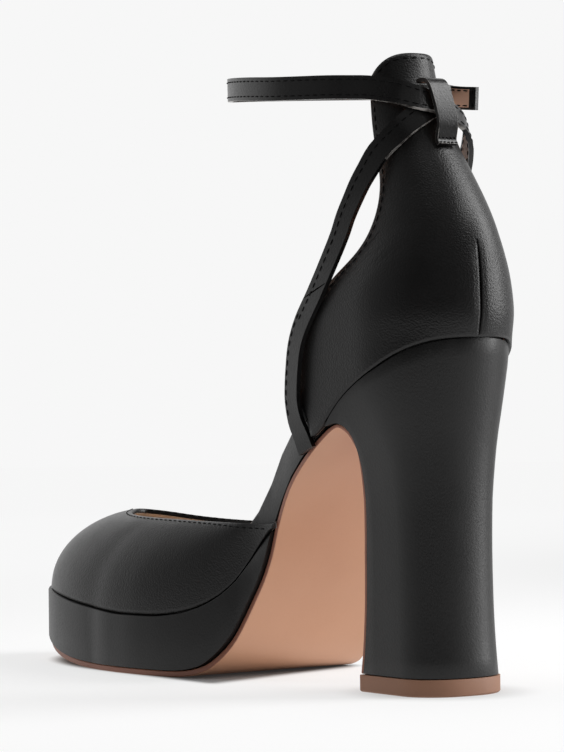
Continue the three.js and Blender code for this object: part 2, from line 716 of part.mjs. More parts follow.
function band(rows, width, thickness, steps) {
  const curve = new THREE.CatmullRomCurve3(
    rows.map((row) => vec(row.x, row.y, row.z)),
    false,
    "centripetal",
  );
  const marked = rows.map((row, i) => ({ ...row, i }));
  const face = smoothTable(marked, "i", "face");
  const tilt = smoothTable(marked, "i", "tilt");
  const count = (rows.length - 1) * steps;
  const rings = range(count + 1).map((step) => {
    const share = step / count;
    const i = step / steps;
    const point = curve.getPoint(share);
    const way = curve.getTangent(share);
    const turn = THREE.MathUtils.degToRad(face(i));
    const lean = THREE.MathUtils.degToRad(tilt(i));
    const facing = vec(Math.cos(turn) * Math.cos(lean), Math.sin(turn) * Math.cos(lean), Math.sin(lean));
    const across = way.clone().cross(facing).normalize();
    const outward = across.clone().cross(way).normalize();
    const corner = (w, n) =>
      point.clone().addScaledVector(across, (w * width) / 2).addScaledVector(outward, (n * thickness) / 2);
    return [corner(-1, -1), corner(1, -1), corner(1, 1), corner(-1, 1)];
  });
  return loft(rings);
}

// A round wire along a path.
function wire(points, radius, closed, count) {
  const curve = new THREE.CatmullRomCurve3(points, closed, "centripetal");
  const frames = curve.computeFrenetFrames(count, closed);
  const rings = range(closed ? count : count + 1).map((i) => {
    const centre = curve.getPointAt(i / count);
    return range(8).map((k) => {
      const angle = (k / 8) * 2 * Math.PI;
      return centre
        .clone()
        .addScaledVector(frames.normals[i], Math.cos(angle) * radius)
        .addScaledVector(frames.binormals[i], Math.sin(angle) * radius);
    });
  });
  return loft(rings, closed);
}

// Ankle strap: from the outer side of the waist, round the heel, round the ankle
// and through the buckle to its loose end.
const ankleStrapTable = [
  { fore: 0.645, across: -0.4828, level: 0.6141, face: 270, tilt: 0 },
  { fore: 0.6813, across: -0.4924, level: 0.6644, face: 272, tilt: 0 },
  { fore: 0.7099, across: -0.5095, level: 0.7204, face: 274, tilt: 0 },
  { fore: 0.7195, across: -0.521, level: 0.7875, face: 276, tilt: 0 },
  { fore: 0.7156, across: -0.5248, level: 0.8322, face: 276, tilt: 0 },
  { fore: 0.7023, across: -0.5267, level: 0.8993, face: 276, tilt: 0 },
  { fore: 0.6775, across: -0.5267, level: 0.9776, face: 275, tilt: 2 },
  { fore: 0.6298, across: -0.5267, level: 1.0394, face: 273, tilt: 4 },
  { fore: 0.584, across: -0.5248, level: 1.0822, face: 271, tilt: 6 },
  { fore: 0.4943, across: -0.521, level: 1.152, face: 269, tilt: 9 },
  { fore: 0.376, across: -0.5, level: 1.2691, face: 266, tilt: 13 },
  { fore: 0.313, across: -0.4618, level: 1.366, face: 263, tilt: 16 },
  { fore: 0.2844, across: -0.4408, level: 1.4392, face: 258, tilt: 19 },
  { fore: 0.2405, across: -0.416, level: 1.5068, face: 252, tilt: 22 },
  { fore: 0.1927, across: -0.3817, level: 1.5664, face: 245, tilt: 24 },
  { fore: 0.1412, across: -0.3492, level: 1.6126, face: 238, tilt: 25 },
  { fore: 0.0763, across: -0.3168, level: 1.6577, face: 230, tilt: 26 },
  { fore: 0.0019, across: -0.2634, level: 1.7095, face: 219, tilt: 27 },
  { fore: -0.0496, across: -0.1832, level: 1.7568, face: 204, tilt: 28 },
  { fore: -0.0592, across: -0.0859, level: 1.7894, face: 192, tilt: 28 },
  { fore: -0.0477, across: 0.0153, level: 1.8176, face: 178, tilt: 28 },
  { fore: 0.0019, across: 0.1183, level: 1.8356, face: 155, tilt: 22 },
  { fore: 0.0668, across: 0.1927, level: 1.8547, face: 136, tilt: 14 },
  { fore: 0.1508, across: 0.2424, level: 1.8671, face: 122, tilt: 8 },
  { fore: 0.2519, across: 0.2939, level: 1.8773, face: 116, tilt: 3 },
  { fore: 0.355, across: 0.3435, level: 1.8818, face: 114, tilt: 0 },
  { fore: 0.4962, across: 0.4122, level: 1.8863, face: 110, tilt: 0 },
  { fore: 0.6679, across: 0.4733, level: 1.8896, face: 100, tilt: 0 },
  { fore: 0.8779, across: 0.5153, level: 1.8953, face: 90, tilt: 0 },
  { fore: 1.145, across: 0.5, level: 1.9077, face: 78, tilt: 0 },
  { fore: 1.3931, across: 0.437, level: 1.9189, face: 62, tilt: 0 },
  { fore: 1.6031, across: 0.334, level: 1.9279, face: 45, tilt: 0 },
  { fore: 1.7653, across: 0.2004, level: 1.9358, face: 27, tilt: 0 },
  { fore: 1.8416, across: 0.0382, level: 1.9448, face: 5, tilt: 0 },
  { fore: 1.8225, across: -0.1336, level: 1.9505, face: -18, tilt: 0 },
  { fore: 1.7176, across: -0.2863, level: 1.9516, face: -40, tilt: 0 },
  { fore: 1.5458, across: -0.4008, level: 1.9482, face: -58, tilt: 0 },
  { fore: 1.2977, across: -0.4828, level: 1.9403, face: -75, tilt: 0 },
  { fore: 1.0687, across: -0.5115, level: 1.9313, face: -85, tilt: 0 },
  { fore: 0.9256, across: -0.5153, level: 1.9212, face: -96, tilt: 0 },
  { fore: 0.8244, across: -0.5611, level: 1.9122, face: -112, tilt: 0 },
  { fore: 0.7252, across: -0.6031, level: 1.8998, face: -100, tilt: 0 },
  { fore: 0.5916, across: -0.6145, level: 1.8818, face: -92, tilt: 0 },
  { fore: 0.4771, across: -0.6202, level: 1.8727, face: -95, tilt: 0 },
  { fore: 0.3721, across: -0.6412, level: 1.8671, face: -102, tilt: 0 },
];

// Buckle strap: from the inner side of the waist, round the heel to the buckle's bar,
// round that bar and back along its own inner side.
const buckleStrapTable = [
  { fore: 0.645, across: 0.4714, level: 0.6141, face: 90, tilt: 0 },
  { fore: 0.6813, across: 0.4809, level: 0.6644, face: 88, tilt: 0 },
  { fore: 0.7099, across: 0.5038, level: 0.7204, face: 86, tilt: 0 },
  { fore: 0.7195, across: 0.521, level: 0.7875, face: 84, tilt: 0 },
  { fore: 0.7156, across: 0.5248, level: 0.8322, face: 84, tilt: 0 },
  { fore: 0.7023, across: 0.5267, level: 0.8993, face: 84, tilt: 0 },
  { fore: 0.6775, across: 0.5267, level: 0.9776, face: 85, tilt: 2 },
  { fore: 0.6298, across: 0.5267, level: 1.0394, face: 87, tilt: 4 },
  { fore: 0.584, across: 0.5248, level: 1.0822, face: 89, tilt: 6 },
  { fore: 0.4943, across: 0.521, level: 1.152, face: 91, tilt: 9 },
  { fore: 0.376, across: 0.5, level: 1.2691, face: 94, tilt: 13 },
  { fore: 0.313, across: 0.4618, level: 1.366, face: 97, tilt: 16 },
  { fore: 0.2863, across: 0.4389, level: 1.4268, face: 100, tilt: 19 },
  { fore: 0.2519, across: 0.4065, level: 1.491, face: 104, tilt: 22 },
  { fore: 0.2233, across: 0.376, level: 1.5439, face: 110, tilt: 24 },
  { fore: 0.1889, across: 0.3454, level: 1.5901, face: 117, tilt: 25 },
  { fore: 0.1393, across: 0.3073, level: 1.6475, face: 127, tilt: 26 },
  { fore: 0.0763, across: 0.2538, level: 1.6959, face: 138, tilt: 27 },
  { fore: 0.021, across: 0.1889, level: 1.7421, face: 151, tilt: 28 },
  { fore: -0.0086, across: 0.0897, level: 1.7849, face: 167, tilt: 28 },
  { fore: -0.0067, across: 0, level: 1.8108, face: 180, tilt: 28 },
  { fore: 0.0095, across: -0.0763, level: 1.8221, face: 192, tilt: 27 },
  { fore: 0.0496, across: -0.1527, level: 1.8367, face: 208, tilt: 22 },
  { fore: 0.1088, across: -0.2195, level: 1.8457, face: 226, tilt: 14 },
  { fore: 0.1966, across: -0.2786, level: 1.8547, face: 238, tilt: 6 },
  { fore: 0.3053, across: -0.3416, level: 1.8649, face: 244, tilt: 2 },
  { fore: 0.4198, across: -0.4122, level: 1.8773, face: 246, tilt: 0 },
  { fore: 0.5229, across: -0.4885, level: 1.8896, face: 247, tilt: 0 },
  { fore: 0.6202, across: -0.5439, level: 1.8998, face: 254, tilt: 0 },
  { fore: 0.7061, across: -0.5611, level: 1.9043, face: 266, tilt: 0 },
  { fore: 0.7538, across: -0.5487, level: 1.9054, face: 313, tilt: 0 },
  { fore: 0.7653, across: -0.5229, level: 1.9054, face: 362, tilt: 0 },
  { fore: 0.75, across: -0.4962, level: 1.9054, face: 408, tilt: 0 },
  { fore: 0.7061, across: -0.4866, level: 1.9043, face: 438, tilt: 0 },
  { fore: 0.6202, across: -0.4905, level: 1.8998, face: 441, tilt: 0 },
  { fore: 0.5344, across: -0.4561, level: 1.8908, face: 425, tilt: 0 },
];

// Keeper on the back of the tab: how far it stands off the tab at each level, in keeper widths.
const keeperTable = [
  { level: 1.6644, off: 0.128 },
  { level: 1.6802, off: 0.142 },
  { level: 1.6959, off: 0.338 },
  { level: 1.714, off: 0.568 },
  { level: 1.7365, off: 0.689 },
  { level: 1.777, off: 0.797 },
  { level: 1.8221, off: 0.838 },
  { level: 1.8559, off: 0.811 },
  { level: 1.8761, off: 0.649 },
  { level: 1.8874, off: 0.378 },
  { level: 1.8919, off: 0.162 },
];
function keeperSolid() {
  const backAt = (z) => -quarterReaders.back(zToHeight(z)) * seatWidth;
  const slopeAt = (z) => Math.atan2(backAt(z + 1) - backAt(z - 1), 2);
  const rows = keeperTable.map((row) => {
    const z = levelToZ(row.level);
    const off = row.off * keeperWidth;
    const slope = slopeAt(z);
    return {
      x: backAt(z) - Math.cos(slope) * off,
      y: 0,
      z: z + Math.sin(slope) * off,
      face: 180,
      tilt: THREE.MathUtils.radToDeg(slope),
    };
  });
  return band(rows, keeperWidth, keeperThickness, 3);
}

// Buckle on the outer side of the ankle
const hinge = vec(0.7233 * seatWidth, -0.5239 * seatWidth, levelToZ(1.9043));
const frontBar = vec(0.9198 * seatWidth, -0.5592 * seatWidth, levelToZ(1.9212));
const buckleHalf = strapWidth / 2 + 0.6 + buckleWire / 2;

// A place between the hinge and the front bar, moved outward or up.
const alongBuckle = (at, outward, up) => {
  const place = hinge.clone().lerp(frontBar, at);
  return vec(place.x, place.y - outward, place.z + up);
};

function frameSolid() {
  const corner = (at, side, shift) => alongBuckle(at, 0, side * (buckleHalf - shift));
  const points = [
    corner(0, -1, 1.4),
    corner(0, 1, 1.4),
    corner(0.05, 1, 0.4),
    corner(0.14, 1, 0),
    corner(0.86, 1, 0),
    corner(0.95, 1, 0.4),
    corner(1, 1, 1.4),
    corner(1, -1, 1.4),
    corner(0.95, -1, 0.4),
    corner(0.86, -1, 0),
    corner(0.14, -1, 0),
    corner(0.05, -1, 0.4),
  ];
  return wire(points, buckleWire / 2, true, 40);
}

function prongSolid(radius) {
  const ringRadius = buckleWire / 2 + clearance + prongWire / 2;
  const around = range(9).map((i) => {
    const angle = THREE.MathUtils.degToRad(mix(20, 290, i / 8));
    return vec(hinge.x + Math.cos(angle) * ringRadius, hinge.y + Math.sin(angle) * ringRadius, hinge.z);
  });
  const outside = buckleWire / 2 + clearance + prongWire / 2;
  const ahead = [
    alongBuckle(0.4, 0.9, 0),
    alongBuckle(0.75, outside - 0.2, 0),
    vec(frontBar.x + 0.4, frontBar.y - outside, frontBar.z),
    vec(frontBar.x + 1.6, frontBar.y - outside, frontBar.z),
  ];
  return wire([...around, ...ahead], radius, false, 28);
}

// Finish of each kind of piece
const finishes = {
  upperLeather: { color: 0x1b1a1a, roughness: 0.42, metalness: 0 },
  heelCover: { color: 0x1a1919, roughness: 0.38, metalness: 0 },
  insoleCover: { color: 0x191818, roughness: 0.45, metalness: 0 },
  lining: { color: 0xb9977a, roughness: 0.7, metalness: 0 },
  soleTan: { color: 0xc8977c, roughness: 0.6, metalness: 0 },
  tipRubber: { color: 0x966c58, roughness: 0.6, metalness: 0 },
  metal: { color: 0xb9b7b3, roughness: 0.28, metalness: 1 },
};

const strapSolid = (table) =>
  cut(band(placedRows(table), strapWidth, strapThickness, 3), prongSolid(prongWire / 2 + clearance));
const pieces = [
  ["heel_tip", "tipRubber", heelTipSolid()],
  ["heel", "heelCover", heelSolid()],
  ["outsole", "soleTan", outsoleSolid()],
  ["platform", "heelCover", platformSolid()],
  ["insole_board", "insoleCover", insoleSolid()],
  ["sock_lining", "lining", sockSolid()],
  ["vamp", "upperLeather", wall(vampGrid(60, 8), upperWall)],
  ["quarter", "upperLeather", wall(quarterGrid(36, 22), upperWall)],
  ["keeper_loop", "upperLeather", keeperSolid()],
  ["ankle_strap", "upperLeather", strapSolid(ankleStrapTable)],
  ["buckle_strap", "upperLeather", strapSolid(buckleStrapTable)],
  ["buckle_frame", "metal", frameSolid()],
  ["buckle_prong", "metal", prongSolid(prongWire / 2)],
];

const shoe = new THREE.Group();
shoe.name = "ankle_strap_platform_pump";
for (const [name, finish, geometry] of pieces) {
  geometry.computeVertexNormals();
  const mesh = new THREE.Mesh(geometry, new THREE.MeshStandardMaterial(finishes[finish]));
  mesh.name = name;
  shoe.add(mesh);
}

export default shoe;
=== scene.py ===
import math

import bmesh
import bpy
import numpy as np
from mathutils import Matrix, Vector
from mathutils.bvhtree import BVHTree


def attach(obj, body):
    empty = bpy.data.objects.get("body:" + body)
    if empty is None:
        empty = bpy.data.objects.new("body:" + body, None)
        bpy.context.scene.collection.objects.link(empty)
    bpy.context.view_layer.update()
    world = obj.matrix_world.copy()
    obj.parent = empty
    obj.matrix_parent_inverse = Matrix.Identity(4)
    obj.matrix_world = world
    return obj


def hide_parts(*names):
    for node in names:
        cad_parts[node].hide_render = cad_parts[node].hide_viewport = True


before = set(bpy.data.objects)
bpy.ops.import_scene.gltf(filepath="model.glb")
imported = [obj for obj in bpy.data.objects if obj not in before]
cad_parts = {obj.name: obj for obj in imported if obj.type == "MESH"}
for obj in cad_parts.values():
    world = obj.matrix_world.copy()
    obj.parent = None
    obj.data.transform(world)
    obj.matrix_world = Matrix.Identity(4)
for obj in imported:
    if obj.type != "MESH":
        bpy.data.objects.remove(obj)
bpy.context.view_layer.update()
print("frame loaded")


# ---- small shader language ----
class Socket:
    # one output of a node, ready for plain sums
    def __init__(self, shader, plug):
        self.shader = shader
        self.plug = plug

    def maths(self, operation, *others):
        return self.shader.add("ShaderNodeMath", {"operation": operation}, [self, *others])

    def __add__(self, other):
        return self.maths("ADD", other)

    __radd__ = __add__

    def __sub__(self, other):
        return self.maths("SUBTRACT", other)

    def __rsub__(self, other):
        return self.shader.add("ShaderNodeMath", {"operation": "SUBTRACT"}, [other, self])

    def __mul__(self, other):
        return self.maths("MULTIPLY", other)

    __rmul__ = __mul__

    def __truediv__(self, other):
        return self.maths("DIVIDE", other)

    def __pow__(self, other):
        return self.maths("POWER", other)

    def size(self):
        return self.maths("ABSOLUTE")

    def ramp(self, low, high):
        # 0 below low and 1 above high, eased between
        settings = {"interpolation_type": "SMOOTHSTEP"}
        return self.shader.add("ShaderNodeMapRange", settings, [self, low, high, 0.0, 1.0], "Result")


class Shader:
    def __init__(self, name):
        self.material = bpy.data.materials.new(name)
        self.material.use_nodes = True
        self.tree = self.material.node_tree
        self.tree.nodes.clear()
        self.bsdf = self.tree.nodes.new("ShaderNodeBsdfPrincipled")
        out = self.tree.nodes.new("ShaderNodeOutputMaterial")
        self.tree.links.new(self.bsdf.outputs[0], out.inputs["Surface"])

    def add(self, kind, settings=None, values=(), output=0):
        node = self.tree.nodes.new(kind)
        for key, value in (settings or {}).items():
            setattr(node, key, value)
        pairs = values.items() if isinstance(values, dict) else enumerate(values)
        for key, value in pairs:
            self.put(node.inputs[key], value)
        return Socket(self, node.outputs[output])

    def put(self, target, value):
        if isinstance(value, Socket):
            self.tree.links.new(value.plug, target)
        else:
            target.default_value = value

    def look(self, **values):
        for key, value in values.items():
            self.put(self.bsdf.inputs[key.replace("_", " ")], value)
        return self.material

    def place(self):
        return self.add("ShaderNodeTexCoord", output="Object")

    def axes(self, place):
        node = self.tree.nodes.new("ShaderNodeSeparateXYZ")
        self.tree.links.new(place.plug, node.inputs[0])
        return [Socket(self, plug) for plug in node.outputs]

    def noise(self, place, scale, detail=2.0, rough=0.5):
        values = {"Vector": place, "Scale": scale, "Detail": detail, "Roughness": rough}
        return self.add("ShaderNodeTexNoise", None, values, "Fac")

    def pebbles(self, place, scale, soft=0.6):
        settings = {"feature": "SMOOTH_F1"}
        values = {"Vector": place, "Scale": scale, "Smoothness": soft}
        return self.add("ShaderNodeTexVoronoi", settings, values, "Distance")

    def stored(self, name):
        return self.add("ShaderNodeAttribute", {"attribute_name": name}, (), "Fac")

    def blend(self, share, a, b):
        settings = {"data_type": "RGBA", "blend_type": "MIX"}
        return self.add("ShaderNodeMix", settings, {0: share, 6: a, 7: b}, 2)

    def bump(self, height, strength, distance):
        values = {"Height": height, "Strength": strength, "Distance": distance}
        return self.add("ShaderNodeBump", None, values)


def mm(value):
    return value / 1000


def tone(red, green, blue):
    # a colour as it reads on screen, 0 to 255
    def straight(c):
        c = c / 255
        return c / 12.92 if c <= 0.04045 else ((c + 0.055) / 1.055) ** 2.4

    return (straight(red), straight(green), straight(blue), 1.0)


# ---- finishes ----
leatherLook = {
    "dark": tone(9, 8, 8),
    "light": tone(15, 14, 14),
    "roughness": 0.38,
    "shine": 0.38,
    "grainSize": 0.56,  # mm between pebbles
    "grainDepth": 0.1,  # mm
    "lining": tone(244, 206, 182),
    "liningShadow": tone(228, 184, 160),
}


def upperLeather(name, look, linedFrom=None, dart=False, topShow=0.0):
    # linedFrom is the stored share, 0 outside and 1 inside, from which the lining shows
    s = Shader(name)
    place = s.place()
    x, y, z = s.axes(place)
    lined = 0.0
    if linedFrom is not None:
        # at the tab's top the lining comes further up the cut edge
        share = s.stored("lined") + z.ramp(mm(190), mm(194)) * topShow
        lined = share.ramp(linedFrom, linedFrom + 0.04)
    fine = s.pebbles(place, 1 / mm(look["grainSize"]))
    broad = s.noise(place, 1 / mm(9), 3.0)
    mottle = s.noise(place, 1 / mm(2.2), 2.0)
    colour = s.blend(broad * 0.7 + mottle * 0.3, look["dark"], look["light"])
    nap = s.noise(place, 1 / mm(0.6), 2.0)
    tan = s.blend(s.noise(place, 1 / mm(14), 3.0), look["liningShadow"], look["lining"])
    roughness = look["roughness"] + (broad - 0.5) * 0.1 + (fine - 0.4) * 0.16
    height = fine * -0.9 + mottle * 0.16
    if dart:
        # the sewn dart down the back of the counter, its slit coloured near black as painted shade
        across = (y - mm(1.4)).size()
        span = z.ramp(mm(109), mm(112)) * (1 - z.ramp(mm(133), mm(140)))
        rear = 1 - x.ramp(mm(-12), mm(-8))
        slit = (1 - across.ramp(mm(0.2), mm(0.9))) * span * rear
        pinch = (1 - across.ramp(mm(0.4), mm(3.0))) * span * rear
        colour = s.blend(slit, colour, tone(5, 4, 4))
        height = height - slit * 3 - pinch * 2
        roughness = roughness + slit * 0.3
    return s.look(
        Base_Color=s.blend(lined, colour, tan),
        Roughness=roughness * (1 - lined) + lined * (0.62 + (nap - 0.5) * 0.1),
        Specular_IOR_Level=look["shine"],
        Normal=s.bump(height * (1 - lined) + nap * lined * 0.6, 0.9, mm(look["grainDepth"])),
    )


def coverLeather(name, look):
    # the same leather pulled tight, so its grain is nearly gone
    s = Shader(name)
    place = s.place()
    fine = s.pebbles(place, 1 / mm(0.7))
    broad = s.noise(place, 1 / mm(16), 3.0)
    pulled = s.noise(place, 1 / mm(2.8), 2.0)
    return s.look(
        Base_Color=s.blend(broad, look["dark"], look["light"]),
        Roughness=0.4 + (broad - 0.5) * 0.1 + (fine - 0.4) * 0.1,
        Specular_IOR_Level=look["shine"],
        Normal=s.bump(fine * -0.7 + pulled * 0.1, 0.8, mm(0.05)),
    )


def tanLeather(name, look):
    s = Shader(name)
    place = s.place()
    broad = s.noise(place, 1 / mm(26), 3.0)
    fine = s.noise(place, 1 / mm(0.8), 3.0)
    return s.look(
        Base_Color=s.blend(broad * 0.75 + fine * 0.25, look["shade"], look["light"]),
        Roughness=look["roughness"] + (fine - 0.5) * look["speck"],
        Normal=s.bump(fine, 0.25, mm(0.05)),
    )


def buckleMetal(name):
    s = Shader(name)
    place = s.place()
    haze = s.noise(place, 1 / mm(3), 3.0)
    return s.look(
        Base_Color=s.blend(haze, tone(190, 188, 184), tone(214, 212, 208)),
        Metallic=1.0,
        Roughness=0.2 + (haze - 0.5) * 0.12,
        Normal=s.bump(s.noise(place, 1 / mm(0.5), 2.0), 0.08, mm(0.02)),
    )


def edgeHighlightFinish(name):
    # the painted cut edge, smoother than the leather's face and coloured pale grey as a painted highlight of
    # the light the edges catch
    s = Shader(name)
    place = s.place()
    # breaks the painted highlight into a broken bright line
    highlightBreaks = s.noise(place, 1 / mm(4), 3.0)
    return s.look(
        Base_Color=s.blend(highlightBreaks.ramp(0.38, 0.62), tone(60, 57, 55), tone(186, 182, 178)),
        Roughness=0.3 + (highlightBreaks - 0.5) * 0.2,
        Specular_IOR_Level=0.7,
        Normal=s.bump(s.noise(place, 1 / mm(0.5), 2.0), 0.3, mm(0.03)),
    )


def threadFinish(name):
    s = Shader(name)
    place = s.place()
    twist = s.noise(place, 1 / mm(0.35), 1.0)
    return s.look(
        Base_Color=s.blend(twist, tone(2, 2, 2), tone(12, 11, 11)),
        Roughness=0.6 + (twist - 0.5) * 0.2,
        Specular_IOR_Level=0.12,
        Normal=s.bump(twist, 0.4, mm(0.04)),
    )


def seamShadow(name):
    s = Shader(name)
    place = s.place()
    return s.look(
        Base_Color=s.blend(s.noise(place, 1 / mm(1.5), 2.0), tone(3, 3, 3), tone(9, 8, 8)),
        Roughness=0.95,
        Specular_IOR_Level=0.0,
    )


strapLook = {**leatherLook, "shine": 0.42, "roughness": 0.32, "grainDepth": 0.05}
vampLook = {
    **leatherLook,
    "shine": 0.34,
    "roughness": 0.34,
    "lining": tone(250, 240, 228),
    "liningShadow": tone(240, 224, 208),
}
heelLook = {**leatherLook, "shine": 0.42}
platformLook = {**leatherLook, "shine": 0.44}
strapLiningLook = {"light": tone(236, 192, 166), "shade": tone(220, 170, 144), "roughness": 0.62, "speck": 0.1}
sockLook = {"light": tone(196, 164, 138), "shade": tone(176, 142, 116), "roughness": 0.6, "speck": 0.1}
soleLook = {"light": tone(209, 159, 128), "shade": tone(195, 144, 112), "roughness": 0.46, "speck": 0.08}
soleEdgeLook = {"light": tone(158, 104, 84), "shade": tone(132, 84, 66), "roughness": 0.5, "speck": 0.1}
tipLook = {"light": tone(154, 112, 88), "shade": tone(140, 100, 78), "roughness": 0.6, "speck": 0.1}

seamShadeMaterial = seamShadow("seam shadow")
strapMaterial = upperLeather("strap leather", strapLook)
liningMaterial = tanLeather("strap lining", strapLiningLook)
edgePaintHighlight = edgeHighlightFinish("edge paint with painted highlight")
vampMaterial = upperLeather("vamp leather", vampLook, 0.96)
quarterMaterial = upperLeather("quarter leather", leatherLook, 0.95, True, 0.5)
heelMaterial = coverLeather("heel covering", heelLook)
coverMaterial = coverLeather("platform covering", platformLook)
sockMaterial = tanLeather("sock leather", sockLook)
soleMaterial = tanLeather("sole tan", soleLook)
edgeMaterial = tanLeather("sole edge", soleEdgeLook)
tipMaterial = tanLeather("heel tip rubber", tipLook)
metalMaterial = buckleMetal("buckle metal")
threadMaterial = threadFinish("black thread")
print("finishes made")


# ---- meshes from the frame's solids ----
def welded(node, quads):
    # a joined copy of a solid, with the CAD's triangle pairs made quads
    bm = bmesh.new()
    bm.from_mesh(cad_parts[node].data)
    bmesh.ops.remove_doubles(bm, verts=bm.verts, dist=mm(0.002))
    if quads:
        bmesh.ops.join_triangles(
            bm,
            faces=bm.faces,
            angle_face_threshold=math.radians(25),
            angle_shape_threshold=math.radians(60),
        )
    bm.normal_update()
    return bm


def sides(bm, bend):
    # groups of faces that meet at less than the bend, the largest first
    limit = math.radians(bend)
    seen = set()
    groups = []
    for first in bm.faces:
        if first in seen:
            continue
        seen.add(first)
        group = [first]
        for face in group:
            for edge in face.edges:
                if len(edge.link_faces) != 2 or edge.calc_face_angle(0) > limit:
                    continue
                for other in edge.link_faces:
                    if other not in seen:
                        seen.add(other)
                        group.append(other)
        groups.append(group)
    return sorted(groups, key=lambda g: -sum(f.calc_area() for f in g))


def pieceFrom(bm, name, materials, bend):
    for edge in bm.edges:
        edge.smooth = len(edge.link_faces) == 2 and edge.calc_face_angle(0) < math.radians(bend)
    for face in bm.faces:
        face.smooth = True
    mesh = bpy.data.meshes.new(name)
    bm.to_mesh(mesh)
    bm.free()
    for material in materials:
        mesh.materials.append(material)
    piece = bpy.data.objects.new(name, mesh)
    bpy.context.scene.collection.objects.link(piece)
    return piece


def refine(piece, bevel=0.0, levels=0, bevelMaterial=-1):
    # rounds the edges and smooths the faces, then keeps the result as a plain mesh
    if bevel:
        mod = piece.modifiers.new("edge", "BEVEL")
        mod.width = mm(bevel)
        mod.segments = 2
        mod.limit_method = "ANGLE"
        mod.angle_limit = math.radians(50)
        mod.material = bevelMaterial
    if levels:
        mod = piece.modifiers.new("smooth", "SUBSURF")
        mod.levels = mod.render_levels = levels
    graph = bpy.context.evaluated_depsgraph_get()
    mesh = bpy.data.meshes.new_from_object(piece.evaluated_get(graph))
    mesh.name = piece.name
    piece.modifiers.clear()
    piece.data = mesh
    for face in mesh.polygons:
        face.use_smooth = True


def sharpenBy(piece, bend):
    bm = bmesh.new()
    bm.from_mesh(piece.data)
    for edge in bm.edges:
        edge.smooth = len(edge.link_faces) != 2 or edge.calc_face_angle(0) < math.radians(bend)
    bm.to_mesh(piece.data)
    bm.free()


def finishPiece(piece, slotName, *nodes):
    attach(piece, "root")
    if nodes:
        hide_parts(*nodes)


def surfaceOf(piece):
    graph = bpy.context.evaluated_depsgraph_get()
    return BVHTree.FromObject(piece, graph)


def outline(faces):
    # closed runs of vertices round a group of faces, the longest first
    inside = set(faces)
    nexts = {}
    for face in faces:
        for loop in face.loops:
            others = [f for f in loop.edge.link_faces if f not in inside]
            if others:
                nexts.setdefault(loop.vert, []).append(loop.link_loop_next.vert)
    runs = []
    while nexts:
        start = next(iter(nexts))
        run = [start]
        while nexts.get(run[-1]):
            follow = nexts[run[-1]].pop()
            if not nexts[run[-1]]:
                del nexts[run[-1]]
            if follow is start:
                break
            run.append(follow)
        else:
            nexts.pop(run[-1], None)
        runs.append([v.co.copy() for v in run])
    return sorted(runs, key=lambda r: -sum((a - b).length for a, b in zip(r, r[1:])))


def wallPiece(node, name, material, crease):
    # a leather wall: outer face, inner face and cut edges between them
    bm = welded(node, True)
    groups = sides(bm, 45)
    lined = bm.verts.layers.float.new("lined")
    for vert in (v for f in groups[1] for v in f.verts):
        vert[lined] = 1.0
    creases = bm.edges.layers.float.new("crease_edge")
    for edge in bm.edges:
        if len(edge.link_faces) == 2 and edge.calc_face_angle(0) > math.radians(45):
            edge[creases] = crease
    rim = outline(groups[0])[0]
    piece = pieceFrom(bm, name, [material], 180)
    refine(piece, levels=2)
    return piece, rim


def strapPiece(node, name):
    # leather outside, lining inside up to a black end, and painted edges with a painted highlight
    bm = welded(node, True)
    groups = sides(bm, 45)
    caps = {v for g in groups[4:6] for f in g for v in f.verts}
    # the leather is turned in over the lining's edge
    lined = [f for f in groups[1] if not any(v in caps for v in f.verts)]
    bmesh.ops.inset_region(bm, faces=lined, thickness=mm(0.8), use_even_offset=True, use_boundary=True)
    for face in lined:
        face.material_index = 1
    # painted highlight: the cut edges that look down at the pale floor, on the inner side of the ankle, get the
    # pale edge colour as if lit
    for face in groups[2] + groups[3]:
        middle = face.calc_center_median()
        if face.normal.z < -0.6 and middle.z > mm(150) and middle.y > mm(-8):
            face.material_index = 2
    piece = pieceFrom(bm, name, [strapMaterial, liningMaterial, edgePaintHighlight], 45)
    # the rounded edges take the same painted highlight
    refine(piece, bevel=0.26, bevelMaterial=2)
    return piece


def solidPiece(node, name, material, bend=38, bevel=0.0):
    bm = welded(node, False)
    piece = pieceFrom(bm, name, [material], bend)
    if bevel:
        refine(piece, bevel=bevel)
    sharpenBy(piece, bend)
    return piece


quarter, quarterRim = wallPiece("quarter", "quarter_leather", quarterMaterial, 1.0)
finishPiece(quarter, "upper_leather", "quarter")
vamp, vampRim = wallPiece("vamp", "vamp_leather", vampMaterial, 0.55)
finishPiece(vamp, "upper_leather", "vamp")
ankleStrap = strapPiece("ankle_strap", "ankle_strap_leather")
finishPiece(ankleStrap, "upper_leather", "ankle_strap")
buckleStrap = strapPiece("buckle_strap", "buckle_strap_leather")
finishPiece(buckleStrap, "upper_leather", "buckle_strap")
keeper = strapPiece("keeper_loop", "keeper_leather")
finishPiece(keeper, "upper_leather", "keeper_loop")
print("upper and straps made")


def curveThrough(name, lines):
    # a holder for one straight-legged spline along each line of points
    curve = bpy.data.curves.new(name, "CURVE")
    curve.dimensions = "3D"
    for line in lines:
        spline = curve.splines.new("POLY")
        spline.points.add(len(line) - 1)
        for point, co in zip(spline.points, line):
            point.co = (*co, 1)
    holder = bpy.data.objects.new(name + "_lines", curve)
    bpy.context.scene.collection.objects.link(holder)
    return holder


def pieceFromHolder(holder, name, material, slotName):
    graph = bpy.context.evaluated_depsgraph_get()
    mesh = bpy.data.meshes.new_from_object(holder.evaluated_get(graph))
    bpy.data.objects.remove(holder)
    mesh.name = name
    mesh.materials.clear()
    mesh.materials.append(material)
    piece = bpy.data.objects.new(name, mesh)
    bpy.context.scene.collection.objects.link(piece)
    finishPiece(piece, slotName)


